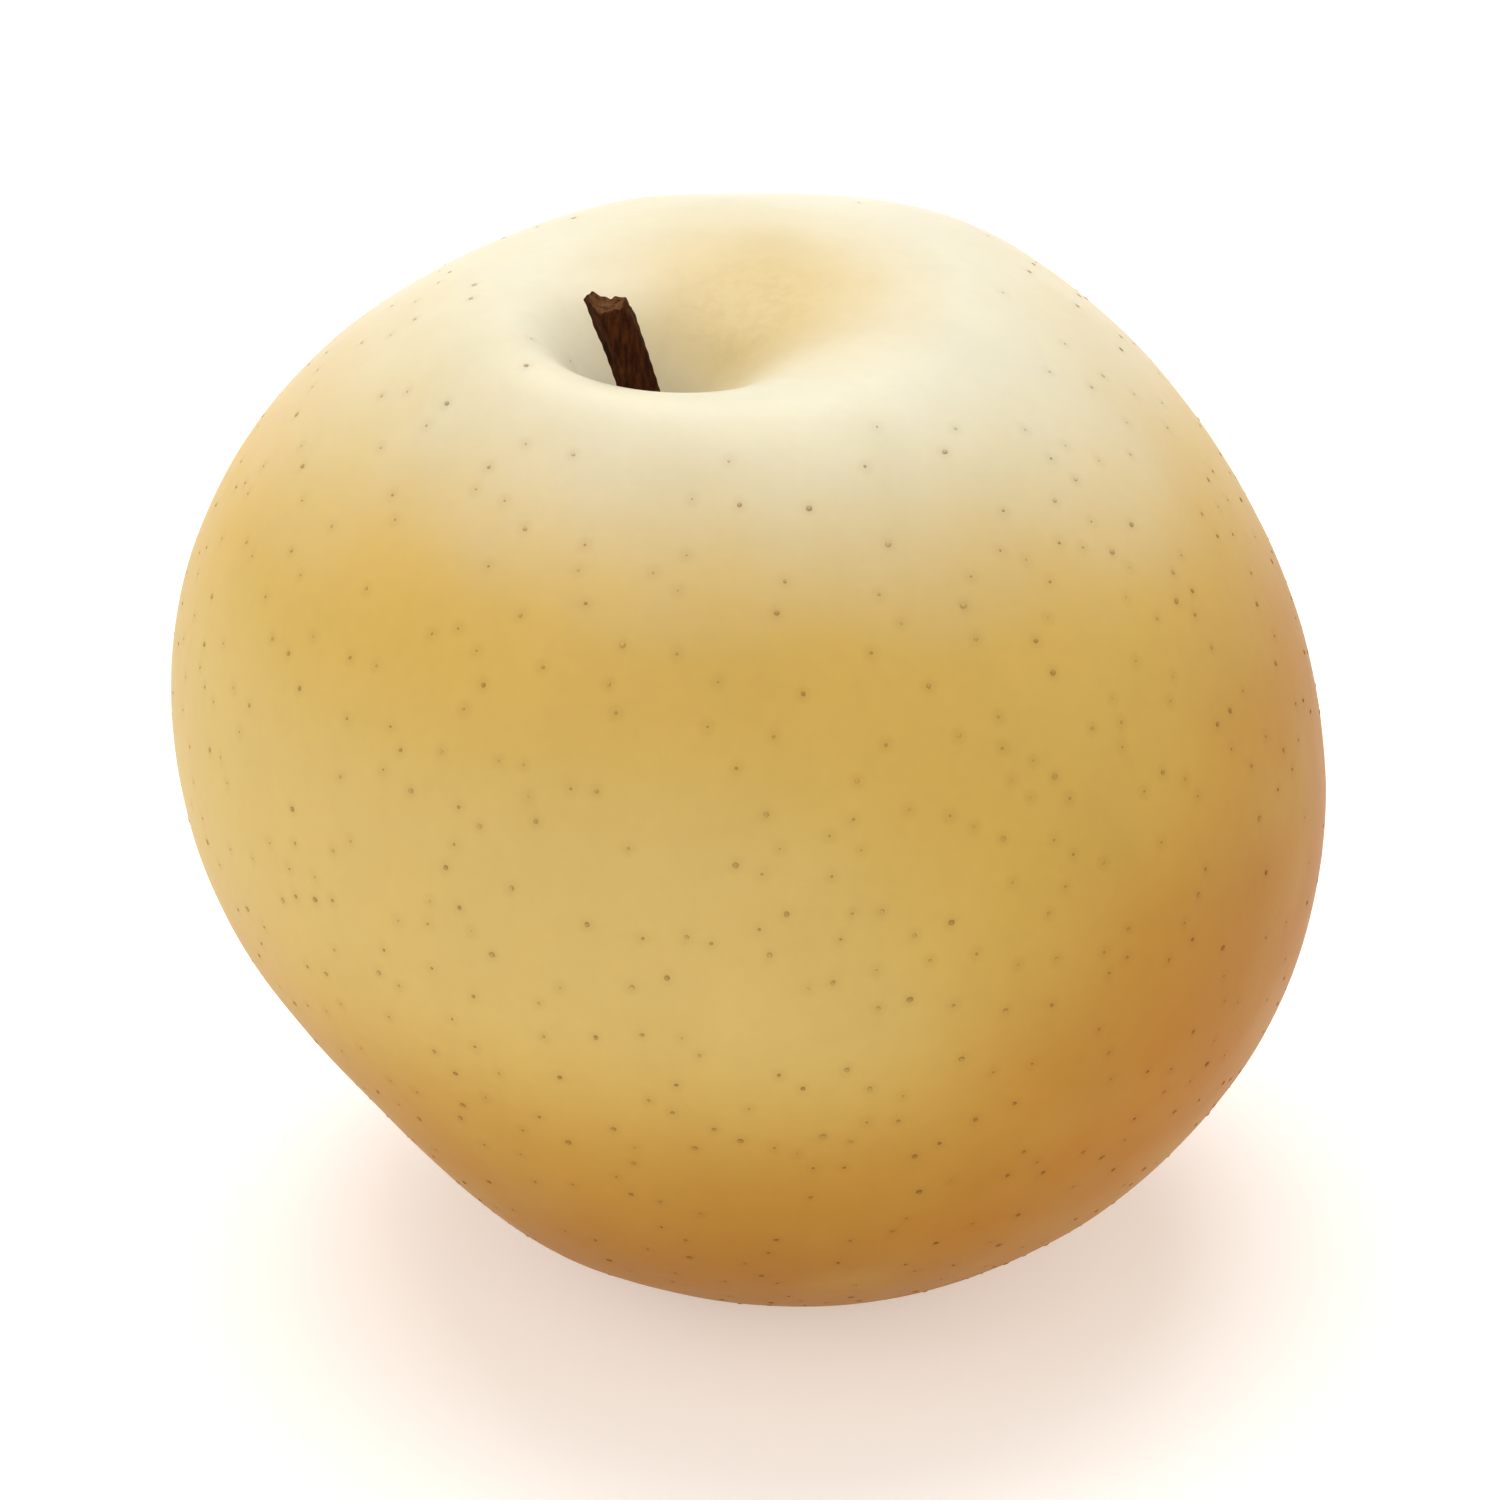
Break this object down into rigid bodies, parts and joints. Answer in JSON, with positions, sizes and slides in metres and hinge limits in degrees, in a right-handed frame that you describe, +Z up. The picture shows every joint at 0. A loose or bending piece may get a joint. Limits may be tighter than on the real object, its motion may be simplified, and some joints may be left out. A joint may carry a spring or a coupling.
{
  "type": "asian pear",
  "caption": "Whole round Asian pear with golden cream skin and a short dark woody stalk in its top hollow; rests on the flat ring around its calyx basin.",
  "frame": {"origin": "bottom centre of the whole object's box, on the floor plane that the fruit rests on", "axes": "+Z up from the floor towards the stalk, +X to the right and -Y towards the front, the side that the stalk leans left on"},
  "size_m": [0.0824, 0.082, 0.0768],
  "materials": {
    "pear_skin": "smooth satin pear skin, cream yellow on top to golden amber below, with fine pale brown lenticel dots",
    "stalk_wood": "dry dark brown bark with fine lengthwise ridges and a ragged broken end",
    "calyx_husk": "dry brittle brown flower remnant"
  },
  "bodies": {
    "root": {"fruit": "pear_skin", "stem": "stalk_wood", "calyx": "calyx_husk"}
  },
  "joints": []
}
